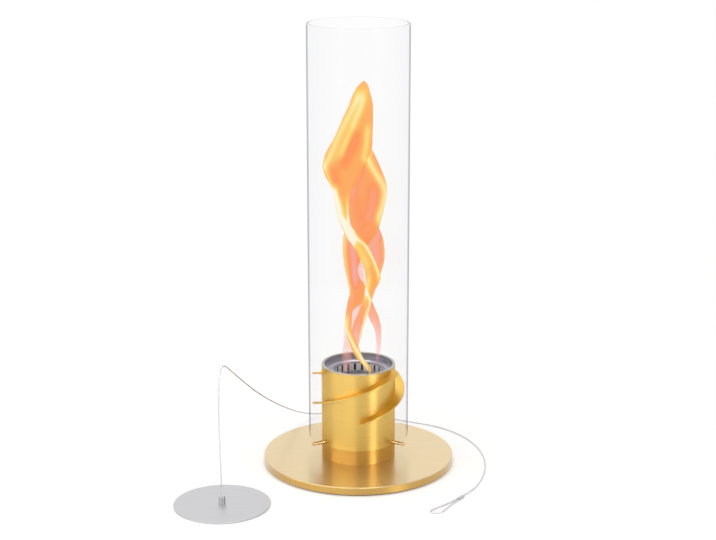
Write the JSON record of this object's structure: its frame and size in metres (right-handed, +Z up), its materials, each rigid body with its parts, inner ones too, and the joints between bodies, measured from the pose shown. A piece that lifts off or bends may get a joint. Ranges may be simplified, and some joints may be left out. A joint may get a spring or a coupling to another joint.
{
  "type": "tabletop fireplace",
  "caption": "Round gold base with a finned burner tube, lift-out burner and tall glass chimney that draws the flame into a spiral, with a wire-hung snuffer disc.",
  "frame": {"origin": "centre of the pad's underside, where the fireplace stands on the table", "axes": "+Z up the common axis of base, burner tube and glass; the picture looks along +Y, so -Y is the front and +X is to its right"},
  "size_m": [0.2751, 0.2673, 0.4],
  "materials": {
    "gold": "satin",
    "pad": "matte",
    "screw_steel": "satin",
    "glass": "polished",
    "burner_steel": "satin",
    "fibre": "matte",
    "snuffer_steel": "satin",
    "wire_steel": "satin"
  },
  "bodies": {
    "base": {"base_pad": "pad", "base_plate": "gold", "base_screws": "screw_steel", "tube_foot": "screw_steel", "burner_tube": "gold", "air_vane_1": "gold", "air_vane_2": "gold", "air_vane_3": "gold", "glass_rest_pin_1": "gold", "glass_rest_pin_2": "gold", "glass_rest_pin_3": "gold", "pin_nuts": "screw_steel"},
    "glass": {"glass_cylinder": "glass"},
    "burner": {"burner_can": "burner_steel", "burner_ring": "burner_steel", "burner_collar": "burner_steel", "burner_sieve": "burner_steel", "fibre_core": "fibre"},
    "snuffer": {"snuffer_disc": "snuffer_steel", "snuffer_stem": "snuffer_steel", "snuffer_wire": "wire_steel", "wire_sleeve": "wire_steel"}
  },
  "joints": [
    {"name": "glass_lift", "type": "slide", "parent": "base", "child": "glass", "axis": [0, 0, 1], "range_m": [0, 0.08]},
    {"name": "burner_lift", "type": "slide", "parent": "base", "child": "burner", "axis": [0, 0, 1], "range_m": [0, 0.065]},
    {"name": "snuffer_lift", "type": "slide", "parent": "base", "child": "snuffer", "axis": [0, 0, 1], "range_m": [0, 0.15]}
  ]
}
